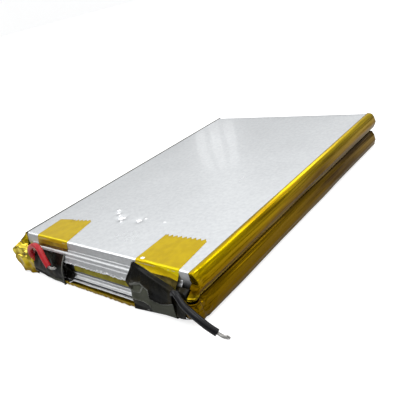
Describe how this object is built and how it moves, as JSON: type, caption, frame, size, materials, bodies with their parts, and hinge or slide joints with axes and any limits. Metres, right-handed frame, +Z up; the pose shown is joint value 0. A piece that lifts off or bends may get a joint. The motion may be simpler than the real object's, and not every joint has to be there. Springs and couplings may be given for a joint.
{
  "type": "pouch cell battery pack",
  "caption": "Flat lithium-polymer pack: stacked silver pouch cells, amber tape round the side seals, black-taped tab joints, short bare-ended red and black leads.",
  "frame": {"origin": "on the supporting surface, under the middle of the pack without its leads", "axes": "+X to the right seen from the tab end, +Y from the tab end to the rear, +Z up through the stack"},
  "size_m": [0.0865, 0.1179, 0.0132],
  "materials": {
    "pouch_laminate": "satin silver laminate",
    "amber_tape": "glossy amber polyimide film",
    "bright_amber_tape": "glossy yellow-amber polyimide film",
    "black_tape": "semi-gloss black insulation tape",
    "tab_aluminium": "bare",
    "tab_nickel": "bare nickel",
    "tab_sealant": "milky",
    "cathode": "matt black coating on aluminium foil",
    "anode": "matt graphite coating on copper foil",
    "separator_film": "matt white film",
    "stack_tape": "matt green tape",
    "adhesive": "matt",
    "solder": "bright, slightly uneven",
    "tinned_copper": "tinned strands",
    "red_insulation": "soft satin red",
    "black_insulation": "soft satin black"
  },
  "bodies": {
    "root": {"upper_cell_pouch_cup": "pouch_laminate", "upper_cell_pouch_cover": "pouch_laminate", "upper_cell_cathode_plates": "cathode", "upper_cell_anode_plates": "anode", "upper_cell_separator": "separator_film", "upper_cell_stack_band": "stack_tape", "upper_cell_positive_tab": "tab_aluminium", "upper_cell_negative_tab": "tab_nickel", "upper_cell_positive_tab_sealant": "tab_sealant", "upper_cell_negative_tab_sealant": "tab_sealant", "upper_cell_left_edge_tape": "amber_tape", "upper_cell_right_edge_tape": "amber_tape", "lower_cell_pouch_cup": "pouch_laminate", "lower_cell_pouch_cover": "pouch_laminate", "lower_cell_cathode_plates": "cathode", "lower_cell_anode_plates": "anode", "lower_cell_separator": "separator_film", "lower_cell_stack_band": "stack_tape", "lower_cell_positive_tab": "tab_aluminium", "lower_cell_negative_tab": "tab_nickel", "lower_cell_positive_tab_sealant": "tab_sealant", "lower_cell_negative_tab_sealant": "tab_sealant", "lower_cell_left_edge_tape": "amber_tape", "lower_cell_right_edge_tape": "amber_tape", "front_adhesive_pad": "adhesive", "rear_adhesive_pad": "adhesive", "left_front_tape": "bright_amber_tape", "right_front_tape": "bright_amber_tape", "lower_cell_front_edge_tape": "bright_amber_tape", "bottom_front_tape": "amber_tape", "left_insulation_tape": "black_tape", "right_insulation_tape": "black_tape", "left_insulation_flap": "black_tape", "right_inner_insulation": "black_tape", "positive_solder_joint": "solder", "negative_solder_joint": "solder", "red_lead": "red_insulation", "black_lead": "black_insulation", "red_lead_tinned_tip": "tinned_copper", "black_lead_tinned_tip": "tinned_copper", "red_lead_soldered_tail": "tinned_copper", "black_lead_soldered_tail": "tinned_copper"}
  },
  "joints": []
}
